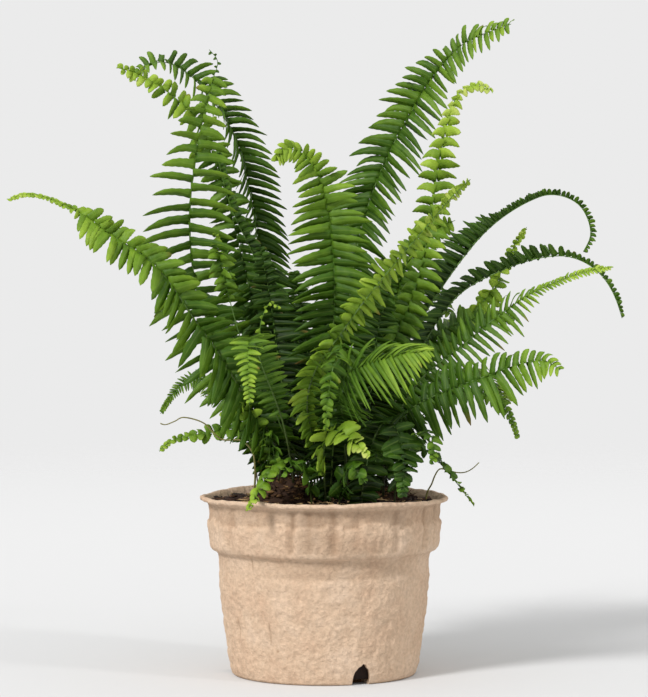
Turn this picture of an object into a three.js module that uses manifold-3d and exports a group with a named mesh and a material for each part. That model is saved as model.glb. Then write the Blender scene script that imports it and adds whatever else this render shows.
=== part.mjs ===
import * as THREE from "three";
import { mergeVertices } from "three/addons/utils/BufferGeometryUtils.js";
import Module from "manifold-3d";

const wasm = await Module();
wasm.setup();

// Driving dimensions, millimetres. +Z up, -Y is the front of the plant.
const potHeight = 120;
const lipRadius = 82.5;
const lipInnerRadius = 79.4;
const footRadius = 61.5;
const wallSegments = 40;
const notchWidth = 11.5;
const notchHeight = 12;
const notchAngles = [-67, 53, 173];
const soilTop = 114;
const crownGap = 0.4;
const rootGap = 1.1;
const stationSpacing = 12;
const laminaThickness = 0.9;
const stemHalfWidth = 1.1;
const clearanceShare = 0.42;
const wireRadius = 0.9;

// Outside of the pot from the foot up, over the lip, and back down the inside.
const potProfile = [
  [0, 0], [footRadius, 0], [64.1, 19], [68.1, 49], [70.2, 77.6], [71.3, 81],
  [75.4, 84], [77.4, 103], [78, 112.5], [lipRadius, 114.2], [lipRadius, potHeight],
  [lipInnerRadius, potHeight], [75.6, 112], [74.9, 103], [72.9, 85.6], [68.8, 82.2],
  [67.7, 77.6], [65.6, 49], [61.6, 19], [59.6, 3.2], [0, 3.2],
];

// Potting mix: follows the inside of the pot with a hair of air between them.
const soilProfile = [
  [0, 3.6], [59.1, 3.6], [61.1, 19], [65.1, 49], [67.2, 77.6], [68.2, 82.7],
  [72.3, 86.1], [74.3, 103], [74.2, 108.4], [66, 110.5], [52, soilTop], [0, soilTop],
];

const crowns = [
  { name: "crown_left", at: [-24, -25], radius: 19, height: 19 },
  { name: "crown_middle", at: [13, 10], radius: 18, height: 13 },
  { name: "crown_right", at: [43, -6], radius: 15, height: 10 },
];
const crownShape = [[0, 0], [1, 0], [0.97, 0.32], [0.78, 0.74], [0.42, 0.95], [0, 1]];

const dark = "#35602a";
const middle = "#4d8a34";
const lime = "#86b33c";

// One entry per frond: where it roots, the points its midrib passes, the half width of the
// blade, the bare share of the stalk, and the way the blade faces (or the way its side points).
const fronds = [
  { name: "frond_tall_right", root: [12, 10], width: 27, stalk: 0.2, face: [-0.25, -1, 0.25], color: dark,
    path: [[13, 14, 180], [16, 28, 236], [23, 38, 286], [38, 44, 334], [56, 44, 370], [76, 38, 402],
      [94, 30, 421], [110, 22, 428], [125, 15, 433]] },
  { name: "frond_dark_left_arch", root: [-10, 8], width: 18, stalk: 0.22, side: [0.2, 1, 0], color: dark,
    path: [[-27, 32, 180], [-38, 52, 234], [-44, 60, 276], [-51, 64, 322], [-63, 62, 363], [-79, 58, 388],
      [-95, 55, 404], [-110, 52, 410], [-121, 50, 406], [-130, 48, 398]] },
  { name: "frond_pale_left_upright", root: [-25, 3], width: 28, stalk: 0.2, face: [0.1, -1, 0.1], color: middle,
    path: [[-40, -6, 170], [-68, -14, 216], [-84, -22, 258], [-88, -29, 305], [-83, -32, 347], [-77, -32, 377],
      [-71, -30, 400], [-69, -29, 410], [-75, -29, 413]] },
  { name: "frond_small_left_tip", root: [-17, 18], width: 10, stalk: 0.25, face: [0.2, -1, 0.4], color: middle,
    path: [[-35, 22, 200], [-50, 28, 254], [-60, 28, 296], [-68, 26, 326], [-78, 22, 352], [-88, 16, 372],
      [-99, 12, 383], [-111, 8, 392], [-124, 4, 399], [-137, 0, 403]] },
  { name: "frond_left_arching", root: [-28, -13], width: 25, stalk: 0.16, face: [0.1, -1, 0.45], color: middle,
    path: [[-34, -34, 160], [-49, -47, 182], [-66, -59, 212], [-85, -69, 240], [-101, -74, 264], [-118, -75, 280],
      [-137, -72, 292], [-157, -66, 306], [-177, -60, 315], [-191, -55, 318], [-204, -52, 315]] },
  { name: "frond_dark_left_second", root: [-6, -3], width: 11, stalk: 0.25, side: [0, 1, 0], color: dark,
    path: [[-20, 4, 180], [-36, 8, 229], [-42, 8, 256], [-46, 7, 276], [-54, 6, 293], [-60, 6, 306],
      [-65, 5, 320], [-72, 4, 350]] },
  { name: "frond_front_left_drooping", root: [-20, -40], width: 10, stalk: 0.4, side: [1, 0.1, 0], color: middle,
    path: [[-27, -56, 172], [-39, -84, 207], [-45, -105, 226], [-47, -120, 222], [-47, -130, 207],
      [-46, -135, 187]] },
  { name: "frond_left_fine", root: [-33, 12], width: 7, stalk: 0.35, face: [0, -1, 0.2], color: middle,
    path: [[-42, 18, 152], [-67, 30, 181], [-84, 36, 195], [-96, 38, 191], [-104, 38, 182], [-111, 38, 171]] },
  { name: "frond_left_low", root: [-36, -3], width: 5.5, stalk: 0.3, face: [0, -0.8, 0.6], color: middle,
    path: [[-41, -10, 148], [-52, -16, 162], [-68, -22, 163], [-85, -26, 160], [-98, -28, 158], [-108, -30, 150]] },
  { name: "frond_left_low_small", root: [-36, -22], width: 7, stalk: 0.3, face: [0, -0.8, 0.5], color: lime,
    path: [[-39, -36, 156], [-48, -47, 176], [-58, -52, 180], [-67, -56, 174]] },
  { name: "frond_front_left_trailing", root: [-17, -31], width: 9, stalk: 0.3, side: [1, -0.3, 0], color: lime,
    path: [[-23, -46, 145], [-32, -58, 143], [-38, -69, 134], [-44, -80, 124], [-49, -88, 116]] },
  { name: "frond_centre_tall", root: [4, -5], width: 21, stalk: 0.2, face: [0, -1, 0.2], color: dark,
    path: [[2, -22, 170], [5, -32, 216], [7, -38, 256], [5, -40, 288], [1, -43, 314], [-6, -47, 335],
      [-16, -52, 346], [-26, -58, 347], [-31, -62, 340]] },
  { name: "frond_crozier_left", root: [-12, -21], width: 2.5, stalk: 0.5, face: [0, -1, 0], color: lime,
    path: [[-27, -46, 165], [-36, -58, 194], [-41, -64, 220], [-40, -66, 238], [-35, -66, 248], [-29, -66, 250],
      [-28, -66, 244]] },
  { name: "frond_front_centre_young", root: [1, -40], width: 8, stalk: 0.35, face: [0, -1, 0.5], color: lime,
    path: [[0, -52, 154], [5, -61, 166], [13, -69, 164], [22, -78, 157], [29, -84, 150]] },
  { name: "frond_front_centre_arching", root: [7, -19], width: 12, stalk: 0.4, side: [1, 0, 0], color: lime,
    path: [[11, -36, 160], [15, -56, 200], [13, -80, 221], [7, -92, 212], [3, -98, 192], [1, -101, 168]] },
  { name: "frond_front_low_left", root: [-8, -48], width: 9, stalk: 0.25, face: [0, -1, 0.6], color: middle,
    path: [[-10, -56, 131], [-14, -62, 143], [-20, -68, 144], [-27, -74, 138]] },
  { name: "frond_front_low_right", root: [10, -49], width: 9, stalk: 0.25, face: [0, -1, 0.6], color: middle,
    path: [[11, -58, 129], [14, -67, 140], [20, -73, 141], [27, -78, 133]] },
  { name: "frond_right_narrow", root: [23, 4], width: 12, stalk: 0.3, face: [-0.2, -1, 0.1], color: lime,
    path: [[27, -2, 172], [40, -4, 208], [58, -2, 249], [68, 2, 285], [73, 5, 316], [76, 6, 338],
      [81, 6, 362], [86, 4, 379], [93, 2, 389], [103, 0, 392], [112, -3, 387]] },
  { name: "frond_right_mid_broad", root: [17, 20], width: 27, stalk: 0.2, face: [-0.2, -1, 0.2], color: dark,
    path: [[22, 20, 164], [32, 24, 192], [41, 28, 221], [48, 30, 248], [56, 30, 272], [68, 28, 289],
      [79, 24, 298], [88, 20, 302]] },
  { name: "frond_lime_crossing", root: [-4, -27], width: 15, stalk: 0.22, side: [0.1, 1, 0.1], color: lime,
    path: [[-7, -42, 158], [-11, -60, 184], [-5, -69, 206], [9, -72, 226], [24, -70, 247], [40, -66, 267],
      [57, -60, 287], [72, -54, 304], [83, -50, 317], [95, -46, 328]] },
  { name: "frond_front_right_low", root: [15, -27], width: 25, stalk: 0.35, face: [-0.2, -1, 0.5], color: lime,
    path: [[13, -46, 168], [10, -66, 190], [14, -84, 203], [26, -94, 210], [41, -103, 215], [54, -110, 218],
      [66, -114, 219]] },
  { name: "frond_right_loop", root: [28, 20], width: 16, stalk: 0.25, side: [0, 1, 0], color: dark,
    path: [[33, 26, 164], [52, 38, 211], [72, 48, 244], [93, 55, 274], [112, 58, 296], [134, 60, 312],
      [155, 60, 320], [172, 58, 315], [180, 56, 304], [182, 54, 292], [177, 52, 281]] },
  { name: "frond_right_second", root: [35, 7], width: 13, stalk: 0.25, side: [0, 1, 0], color: dark,
    path: [[41, 8, 164], [56, 9, 198], [74, 8, 232], [92, 5, 254], [117, 0, 268], [140, -4, 276],
      [160, -6, 278], [176, -8, 272], [187, -10, 261], [194, -12, 247], [197, -13, 237]] },
  { name: "frond_right_light", root: [41, -7], width: 15, stalk: 0.25, face: [0, -0.8, 0.6], color: middle,
    path: [[47, -14, 168], [64, -22, 197], [90, -30, 219], [115, -36, 240], [137, -40, 255], [155, -42, 263],
      [173, -44, 269], [188, -45, 271]] },
  { name: "frond_right_back_tip", root: [24, 33], width: 6, stalk: 0.5, face: [0, -1, 0], color: middle,
    path: [[30, 48, 166], [66, 80, 206], [98, 100, 233], [118, 108, 254], [129, 108, 277], [142, 106, 298]] },
  { name: "frond_right_low_broad", root: [39, -23], width: 24, stalk: 0.22, face: [0, -1, 0.5], color: dark,
    path: [[41, -32, 154], [56, -45, 178], [81, -58, 192], [107, -66, 202], [129, -72, 210], [143, -76, 211],
      [151, -80, 206]] },
  { name: "frond_right_back_low", root: [38, 24], width: 14, stalk: 0.3, face: [0, -0.8, 0.6], color: dark,
    path: [[43, 30, 160], [55, 48, 200], [79, 60, 225], [106, 68, 235], [130, 74, 235]] },
  { name: "frond_right_small_hanging", root: [49, 5], width: 5, stalk: 0.45, face: [0, -1, 0.2], color: middle,
    path: [[52, 5, 146], [72, 7, 178], [101, 10, 188], [118, 12, 180], [126, 12, 168], [130, 12, 156]] },
  { name: "frond_right_trailing", root: [54, -14], width: 7, stalk: 0.3, side: [0, 1, 0.3], color: middle,
    path: [[55, -19, 140], [63, -23, 151], [73, -26, 146], [85, -31, 132], [98, -36, 115]] },
  { name: "frond_front_right_dark", root: [27, -38], width: 9, stalk: 0.4, side: [1, 0.3, 0], color: dark,
    path: [[31, -46, 156], [41, -58, 172], [49, -68, 160], [51, -75, 138], [50, -79, 124]] },
  { name: "frond_left_inner_small", root: [-22, 26], width: 9, stalk: 0.35, face: [0, -1, 0], color: dark,
    path: [[-33, 40, 178], [-50, 68, 226], [-62, 84, 264], [-70, 89, 290]] },
  { name: "frond_right_young", root: [46, -32], width: 6, stalk: 0.45, side: [1, 0.4, 0], color: lime,
    path: [[50, -46, 140], [58, -60, 158], [66, -70, 166], [70, -77, 158], [69, -81, 145]] },
  { name: "frond_back_left_arching", root: [-30, 30], width: 18, stalk: 0.25, side: [0.7, 0.7, 0], color: dark,
    path: [[-42, 48, 176], [-66, 78, 226], [-92, 106, 252], [-110, 128, 248], [-118, 140, 232]] },
  { name: "frond_back_left_tall", root: [-8, 32], width: 20, stalk: 0.25, side: [1, 0.3, 0], color: dark,
    path: [[-14, 50, 190], [-28, 84, 246], [-44, 116, 272], [-56, 140, 268], [-62, 152, 252]] },
  { name: "frond_back_middle", root: [6, 36], width: 20, stalk: 0.25, side: [1, 0, 0], color: dark,
    path: [[7, 58, 180], [6, 92, 220], [3, 124, 234], [0, 148, 222], [-2, 160, 202]] },
  { name: "frond_back_right_tall", root: [20, 48], width: 20, stalk: 0.25, side: [0.9, -0.4, 0], color: dark,
    path: [[28, 64, 188], [46, 96, 240], [64, 124, 260], [80, 142, 254], [90, 152, 236]] },
  { name: "frond_back_right_low", root: [36, 40], width: 16, stalk: 0.25, side: [0.6, -0.7, 0], color: middle,
    path: [[46, 54, 154], [70, 80, 186], [98, 106, 198], [120, 124, 188], [130, 132, 172]] },
  { name: "frond_back_left_low", root: [-38, 20], width: 14, stalk: 0.25, side: [0.7, 0.6, 0], color: middle,
    path: [[-48, 34, 152], [-64, 62, 186], [-76, 92, 192], [-84, 114, 178]] },
  { name: "frond_back_low_middle", root: [-6, 48], width: 14, stalk: 0.3, side: [1, 0.1, 0], color: middle,
    path: [[-9, 60, 146], [-14, 88, 172], [-18, 114, 168], [-21, 130, 150]] },
  { name: "frond_back_low_right", root: [12, 58], width: 11, stalk: 0.3, side: [1, -0.3, 0], color: lime,
    path: [[15, 68, 142], [21, 90, 158], [28, 108, 148], [32, 118, 134]] },
  { name: "frond_left_curled_young", root: [-15, -12], width: 7, stalk: 0.55, face: [0, -1, 0], color: lime,
    path: [[-34, -20, 172], [-54, -26, 222], [-64, -28, 258], [-69, -30, 280], [-71, -32, 294]] },
  { name: "frond_inner_left", root: [-20, -5], width: 20, stalk: 0.15, face: [0, -1, 0.2], color: dark,
    path: [[-25, -6, 170], [-31, -9, 215], [-36, -12, 252], [-42, -14, 284]] },
  { name: "frond_inner_centre", root: [-2, 17], width: 20, stalk: 0.15, face: [0, -1, 0.2], color: dark,
    path: [[-5, 14, 165], [-10, 16, 205], [-15, 15, 240], [-20, 12, 268]] },
  { name: "frond_inner_right", root: [31, -9], width: 20, stalk: 0.15, face: [0, -1, 0.2], color: dark,
    path: [[30, -14, 165], [32, -20, 202], [37, -24, 236], [45, -26, 260]] },
];

// Short young fronds that fill the foot of the clump: degrees right of the front, where they
// root and reach out to from the middle, and how high they rise over the potting mix.
const baseFronds = [
  { name: "frond_base_left", turn: -84, root: 30, out: 46, rise: 60, color: middle },
  { name: "frond_base_front_left", turn: -38, root: 48, out: 62, rise: 50, color: lime },
  { name: "frond_base_front", turn: 9, root: 27, out: 62, rise: 60, color: dark },
  { name: "frond_base_front_right", turn: 26, root: 55, out: 76, rise: 40, color: dark },
  { name: "frond_base_right", turn: 66, root: 54, out: 64, rise: 50, color: middle },
  { name: "frond_base_back_left", turn: -122, root: 40, out: 56, rise: 54, color: middle },
  { name: "frond_base_back_right", turn: 118, root: 46, out: 62, rise: 60, color: middle },
  { name: "frond_base_back", turn: 202, root: 62, out: 84, rise: 46, color: dark },
];
baseFronds.forEach((frond) => {
  const turn = THREE.MathUtils.degToRad(frond.turn);
  const at = (radius, z) => [radius * Math.sin(turn), -radius * Math.cos(turn), z];
  const grown = frond.out - frond.root;
  const tip = [0.3, 0.62, 0.85, 1].map((share, i) =>
    at(frond.root + grown * share, soilTop + frond.rise * [0.62, 0.98, 0.96, 0.8][i]));
  const [x, y] = at(frond.root, 0);
  const side = [Math.cos(turn), Math.sin(turn), 0];
  fronds.push({ name: frond.name, root: [x, y], width: 10, stalk: 0.2, side, color: frond.color, path: tip });
});

const wires = [
  { name: "runner_left", root: [-47, -24], color: "#8f7a4a",
    path: [[-45, -30, 132], [-50, -34, 156], [-67, -37, 158], [-79, -39, 168], [-81, -40, 180], [-90, -42, 182],
      [-100, -44, 177], [-106, -45, 168], [-104, -46, 158], [-94, -48, 151]] },
  { name: "runner_stalk", root: [-44, 46], color: "#4a3524",
    path: [[-46, 48, 128], [-45, 50, 140], [-47, 51, 148], [-51, 52, 157]] },
  { name: "runner_right", root: [68, 6], color: "#a09a52",
    path: [[72, 4, 126], [77, 2, 136], [88, -1, 134], [96, -4, 135], [103, -6, 141]] },
];

function lathe(profile, segments) {
  const points = profile.map(([r, z]) => new THREE.Vector2(r, z));
  const geometry = new THREE.LatheGeometry(points, segments);
  geometry.rotateX(Math.PI / 2);
  return tidy(geometry);
}

function tidy(geometry) {
  geometry.deleteAttribute("normal");
  geometry.deleteAttribute("uv");
  return outward(mergeVertices(geometry, 1e-3));
}

// Drops slivers that closed up at the axis and turns the faces outward.
function outward(geometry) {
  const index = Array.from(geometry.index.array);
  const p = geometry.attributes.position;
  const kept = [];
  let volume = 0;
  for (let i = 0; i < index.length; i += 3) {
    const [a, b, c] = [index[i], index[i + 1], index[i + 2]];
    if (a === b || b === c || a === c) continue;
    kept.push([a, b, c]);
    const va = new THREE.Vector3().fromBufferAttribute(p, a);
    const vb = new THREE.Vector3().fromBufferAttribute(p, b);
    const vc = new THREE.Vector3().fromBufferAttribute(p, c);
    volume += va.dot(vb.cross(vc));
  }
  const ordered = volume > 0 ? kept : kept.map(([a, b, c]) => [a, c, b]);
  geometry.setIndex(ordered.flat());
  return geometry;
}

function solidFrom(geometry) {
  const mesh = new wasm.Mesh({
    numProp: 3,
    vertProperties: new Float32Array(geometry.attributes.position.array),
    triVerts: new Uint32Array(geometry.index.array),
  });
  return new wasm.Manifold(mesh);
}

function geometryFrom(solid) {
  const mesh = solid.getMesh();
  const geometry = new THREE.BufferGeometry();
  geometry.setAttribute("position", new THREE.BufferAttribute(new Float32Array(mesh.vertProperties), 3));
  geometry.setIndex(Array.from(mesh.triVerts));
  return outward(mergeVertices(geometry, 1e-3));
}

function named(name, geometry, color) {
  geometry.computeVertexNormals();
  const mesh = new THREE.Mesh(geometry, new THREE.MeshStandardMaterial({ color, roughness: 0.75 }));
  mesh.name = name;
  return mesh;
}

// Arched drain opening at the foot, pointing out along +X before it is turned.
function notchCutter(angle) {
  const shape = new THREE.Shape();
  const half = notchWidth / 2;
  shape.moveTo(-half, -2);
  shape.lineTo(half, -2);
  shape.lineTo(half, notchHeight - half);
  shape.absarc(0, notchHeight - half, half, 0, Math.PI, false);
  shape.lineTo(-half, -2);
  const geometry = new THREE.ExtrudeGeometry(shape, { depth: 20, bevelEnabled: false, curveSegments: 8 });
  geometry.translate(0, 0, 58.4);
  geometry.rotateX(Math.PI / 2);
  geometry.rotateZ(Math.PI);
  geometry.rotateZ(THREE.MathUtils.degToRad(angle - 90));
  return solidFrom(tidy(geometry));
}

// Height of the planted surface under a point, on a crown or on the potting mix.
function groundHeight(x, y) {
  let top = soilTop;
  for (const crown of crowns) {
    const distance = Math.hypot(x - crown.at[0], y - crown.at[1]) / crown.radius;
    if (distance >= 1.1) continue;
    const reach = Math.min(distance, 0.9);
    for (let i = 1; i < crownShape.length - 1; i += 1) {
      const [outerR, outerZ] = crownShape[i];
      const [innerR, innerZ] = crownShape[i + 1];
      if (reach <= outerR && reach >= innerR) {
        const share = (outerR - reach) / Math.max(outerR - innerR, 1e-6);
        top = Math.max(top, soilTop + crownGap + crown.height * (outerZ + (innerZ - outerZ) * share));
      }
    }
  }
  return top;
}

// Even stations along a smooth midrib that leaves the ground upright.
function stationsOf(item) {
  const [x, y] = item.root;
  const reach = 1.8;
  const around = [[0, 0], [reach, 0], [-reach, 0], [0, reach], [0, -reach]];
  const base = Math.max(...around.map(([dx, dy]) => groundHeight(x + dx, y + dy))) + rootGap;
  const first = item.path[0];
  const lean = Math.min(9, (first[2] - base) * 0.35);
  const start = new THREE.Vector3(x, y, base);
  const toward = new THREE.Vector3(first[0] - x, first[1] - y, 0).multiplyScalar(0.12);
  const second = new THREE.Vector3(x + toward.x, y + toward.y, base + lean);
  const points = [start, second, ...item.path.map((p) => new THREE.Vector3(...p))];
  const curve = new THREE.CatmullRomCurve3(points, false, "centripetal");
  const count = Math.max(9, Math.round(curve.getLength() / stationSpacing));
  return curve.getSpacedPoints(count);
}

function segmentDistance(p1, q1, p2, q2) {
  const d1 = q1.clone().sub(p1);
  const d2 = q2.clone().sub(p2);
  const r = p1.clone().sub(p2);
  const a = d1.dot(d1);
  const e = d2.dot(d2);
  const f = d2.dot(r);
  const c = d1.dot(r);
  const b = d1.dot(d2);
  const denominator = a * e - b * b;
  let s = denominator > 1e-9 ? THREE.MathUtils.clamp((b * f - c * e) / denominator, 0, 1) : 0;
  let t = (b * s + f) / e;
  if (t < 0) {
    t = 0;
    s = THREE.MathUtils.clamp(-c / a, 0, 1);
  } else if (t > 1) {
    t = 1;
    s = THREE.MathUtils.clamp((b - c) / a, 0, 1);
  }
  const onFirst = p1.clone().addScaledVector(d1, s);
  const onSecond = p2.clone().addScaledVector(d2, t);
  return onFirst.distanceTo(onSecond);
}

// Room at each station before a blade would reach its share of the gap to any neighbour.
function roomAlong(index, lines) {
  const own = lines[index];
  const segmentRoom = [];
  for (let i = 0; i + 1 < own.length; i += 1) {
    let nearest = Infinity;
    lines.forEach((other, j) => {
      if (j === index) return;
      for (let k = 0; k + 1 < other.length; k += 1) {
        nearest = Math.min(nearest, segmentDistance(own[i], own[i + 1], other[k], other[k + 1]));
      }
    });
    segmentRoom.push(nearest * clearanceShare);
  }
  return own.map((point, i) => {
    const before = segmentRoom[Math.max(0, i - 1)];
    const after = segmentRoom[Math.min(segmentRoom.length - 1, i)];
    let room = Math.min(before, after);
    const radial = Math.hypot(point.x, point.y);
    const toRim = Math.hypot(radial - 81, point.z - 118);
    room = Math.min(room, Math.max(0.9, (toRim - 4.5) * 0.7));
    if (radial < 76) room = Math.min(room, Math.max(0.9, (point.z - soilTop - 12) * 0.5));
    return room;
  });
}

function bladeProfile(share, stalk) {
  if (share <= stalk) return 0;
  const v = (share - stalk) / (1 - stalk);
  return Math.min(1, 0.35 + 2.2 * v) * Math.pow(1 - Math.pow(v, 2.2), 0.85);
}

// Closes a run of equal rings into one solid with a flat root and a pointed tip.
function sweep(rings, tip) {
  const positions = [];
  const faces = [];
  const n = rings[0].length;
  rings.forEach((ring) => ring.forEach((v) => positions.push(v.x, v.y, v.z)));
  positions.push(tip.x, tip.y, tip.z);
  for (let k = 1; k + 1 < n; k += 1) faces.push(0, k + 1, k);
  for (let i = 0; i + 1 < rings.length; i += 1) {
    for (let k = 0; k < n; k += 1) {
      const a = i * n + k;
      const b = i * n + ((k + 1) % n);
      faces.push(a, b, b + n, a, b + n, a + n);
    }
  }
  const last = (rings.length - 1) * n;
  for (let k = 0; k < n; k += 1) faces.push(last + k, last + ((k + 1) % n), rings.length * n);
  const geometry = new THREE.BufferGeometry();
  geometry.setAttribute("position", new THREE.Float32BufferAttribute(positions, 3));
  geometry.setIndex(faces);
  return outward(geometry);
}

function tangentAt(line, i) {
  const from = line[Math.max(0, i - 1)];
  const to = line[Math.min(line.length - 1, i + 1)];
  return to.clone().sub(from).normalize();
}

// Frond blade: diamond rings, wide on the leaflets and narrow between them.
function blade(frond, line, room) {
  const rings = [];
  for (let i = 0; i + 1 < line.length; i += 1) {
    const tangent = tangentAt(line, i);
    const side = frond.face
      ? tangent.clone().cross(new THREE.Vector3(...frond.face))
      : new THREE.Vector3(...frond.side);
    side.addScaledVector(tangent, -side.dot(tangent)).normalize();
    const normal = side.clone().cross(tangent);
    const comb = i % 2 === 0 ? 1 : 0.66;
    const wanted = frond.width * bladeProfile(i / (line.length - 1), frond.stalk) * comb;
    const half = Math.min(Math.max(wanted, stemHalfWidth), room[i]);
    const thick = Math.min(laminaThickness, room[i]);
    const at = (across, up) => line[i].clone().addScaledVector(side, across).addScaledVector(normal, up);
    rings.push([at(half, 0), at(0, thick), at(-half, 0), at(0, -thick)]);
  }
  return sweep(rings, line[line.length - 1]);
}

function wire(line, room) {
  const rings = [];
  let side = new THREE.Vector3(1, 0, 0);
  for (let i = 0; i + 1 < line.length; i += 1) {
    const tangent = tangentAt(line, i);
    side = side.clone().addScaledVector(tangent, -side.dot(tangent)).normalize();
    const normal = side.clone().cross(tangent);
    const radius = Math.min(wireRadius, room[i]);
    const ring = [];
    for (let k = 0; k < 6; k += 1) {
      const turn = (k * Math.PI) / 3;
      ring.push(line[i].clone()
        .addScaledVector(side, radius * Math.cos(turn))
        .addScaledVector(normal, radius * Math.sin(turn)));
    }
    rings.push(ring);
  }
  return sweep(rings, line[line.length - 1]);
}

const plant = new THREE.Group();
plant.name = "potted_nephrolepis_fern";

let potSolid = solidFrom(lathe(potProfile, wallSegments));
notchAngles.forEach((angle) => {
  potSolid = potSolid.subtract(notchCutter(angle));
});
plant.add(named("pot", geometryFrom(potSolid), "#d0b294"));
plant.add(named("potting_mix", lathe(soilProfile, wallSegments), "#3a2b28"));

crowns.forEach((crown) => {
  const profile = crownShape.map(([r, z]) => [r * crown.radius, z * crown.height]);
  const geometry = lathe(profile, 12);
  geometry.translate(crown.at[0], crown.at[1], soilTop + crownGap);
  plant.add(named(crown.name, geometry, "#5a4030"));
});

const growing = [...fronds, ...wires];
const lines = growing.map(stationsOf);
fronds.forEach((frond, i) => {
  plant.add(named(frond.name, blade(frond, lines[i], roomAlong(i, lines)), frond.color));
});
wires.forEach((item, i) => {
  const index = fronds.length + i;
  plant.add(named(item.name, wire(lines[index], roomAlong(index, lines)), item.color));
});

export default plant;
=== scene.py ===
import math
import random

import bmesh
import bpy
from mathutils import Matrix, Vector, noise


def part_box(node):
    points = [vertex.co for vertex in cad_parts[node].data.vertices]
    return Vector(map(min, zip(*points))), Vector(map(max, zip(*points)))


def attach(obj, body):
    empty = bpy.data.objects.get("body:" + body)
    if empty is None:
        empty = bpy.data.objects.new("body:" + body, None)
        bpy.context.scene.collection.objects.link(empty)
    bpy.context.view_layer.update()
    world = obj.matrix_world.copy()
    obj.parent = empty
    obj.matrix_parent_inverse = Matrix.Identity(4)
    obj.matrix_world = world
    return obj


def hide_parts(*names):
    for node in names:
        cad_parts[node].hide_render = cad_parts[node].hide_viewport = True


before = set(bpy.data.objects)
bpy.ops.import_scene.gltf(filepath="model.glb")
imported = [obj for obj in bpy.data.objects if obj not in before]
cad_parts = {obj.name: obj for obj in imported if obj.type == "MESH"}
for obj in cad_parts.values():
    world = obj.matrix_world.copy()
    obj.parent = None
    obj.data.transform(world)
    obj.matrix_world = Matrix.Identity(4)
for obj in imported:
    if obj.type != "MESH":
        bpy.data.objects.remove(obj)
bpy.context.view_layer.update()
mm = 0.001
print("frame loaded:", len(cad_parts), "nodes")


def linearColour(hexText):
    # sRGB hex to linear
    parts = [int(hexText[i:i + 2], 16) / 255 for i in (1, 3, 5)]
    return tuple(p / 12.92 if p <= 0.04045 else ((p + 0.055) / 1.055) ** 2.4 for p in parts) + (1.0,)


def addNode(material, kind, settings=None, inputs=None):
    # inputs: socket name or number -> a value, or (node, output) to link
    tree = material.node_tree
    node = tree.nodes.new(kind)
    for key, value in (settings or {}).items():
        setattr(node, key, value)
    for key, value in (inputs or {}).items():
        if isinstance(value, tuple) and len(value) == 2 and isinstance(value[0], bpy.types.Node):
            tree.links.new(value[0].outputs[value[1]], node.inputs[key])
        else:
            node.inputs[key].default_value = value
    return node


def addRamp(material, source, stops):
    node = addNode(material, "ShaderNodeValToRGB", None, {0: source})
    ramp = node.color_ramp
    while len(ramp.elements) > 1:
        ramp.elements.remove(ramp.elements[-1])
    ramp.elements[0].position = stops[0][0]
    ramp.elements[0].color = linearColour(stops[0][1])
    for place, colour in stops[1:]:
        ramp.elements.new(place).color = linearColour(colour)
    return node


def startMaterial(name):
    material = bpy.data.materials.new(name)
    material.use_nodes = True
    material.node_tree.nodes.clear()
    return material


def addNoise(material, place, scale, detail, roughness=0.5):
    return addNode(material, "ShaderNodeTexNoise", None,
                   {"Vector": (place, "Object"), "Scale": scale, "Detail": detail, "Roughness": roughness})


def addBlend(material, share, low, high, kind="MIX"):
    return addNode(material, "ShaderNodeMix", {"data_type": "RGBA", "blend_type": kind},
                   {0: share, 6: low, 7: high})


def addRange(material, source, low, high, lowTo, highTo):
    return addNode(material, "ShaderNodeMapRange", None, {"Value": source, "From Min": low, "From Max": high,
                                                          "To Min": lowTo, "To Max": highTo})


def closeMaterial(material, colour, gloss, specular, height, strength, distance):
    relief = addNode(material, "ShaderNodeBump", None,
                     {"Height": height, "Strength": strength, "Distance": distance})
    skin = addNode(material, "ShaderNodeBsdfPrincipled", None,
                   {"Base Color": colour, "Roughness": gloss, "Specular IOR Level": specular,
                    "Normal": (relief, 0)})
    addNode(material, "ShaderNodeOutputMaterial", None, {0: (skin, 0)})
    return material


def meshFrom(name, bm):
    mesh = bpy.data.meshes.new(name)
    bm.to_mesh(mesh)
    bm.free()
    return mesh


def addObject(name, data):
    thing = bpy.data.objects.new(name, data)
    bpy.context.scene.collection.objects.link(thing)
    return thing


def finishPiece(name, bm, materials, node):
    mesh = meshFrom(name, bm)
    for material in materials:
        mesh.materials.append(material)
    mesh.shade_smooth()
    piece = addObject(name, mesh)
    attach(piece, "root")
    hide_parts(node)
    return piece


def lathe(profile, steps):
    # closed body turned from a profile of radius and height, mm
    bm = bmesh.new()
    verts = [bm.verts.new((0, -r * mm, z * mm)) for r, z in profile]
    edges = [bm.edges.new(pair) for pair in zip(verts, verts[1:])]
    bmesh.ops.spin(bm, geom=verts + edges, cent=(0, 0, 0), axis=(0, 0, 1), angle=2 * math.pi,
                   steps=steps, use_merge=True)
    bmesh.ops.remove_doubles(bm, verts=bm.verts[:], dist=1e-5)
    bmesh.ops.recalc_face_normals(bm, faces=bm.faces[:])
    return bm


def wobble(point, size, seed=0.0):
    # smooth noise about -1 to 1, with lumps of the given size in metres
    return noise.noise(Vector(point) / size + Vector((seed, seed * 1.7, seed * 0.3)))


def smoothStep(a, b, x):
    t = min(1.0, max(0.0, (x - a) / (b - a)))
    return t * t * (3 - 2 * t)


# materials
leafColours = {
    "tones": [(0.0, "#162704"), (0.2, "#2b4a0c"), (0.42, "#486e18"), (0.62, "#769b29"),
              (0.82, "#a8c63f"), (1.0, "#d3de78")],
    "vein": "#a3bd55",
    "dry": "#8a6a35",
}


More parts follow.
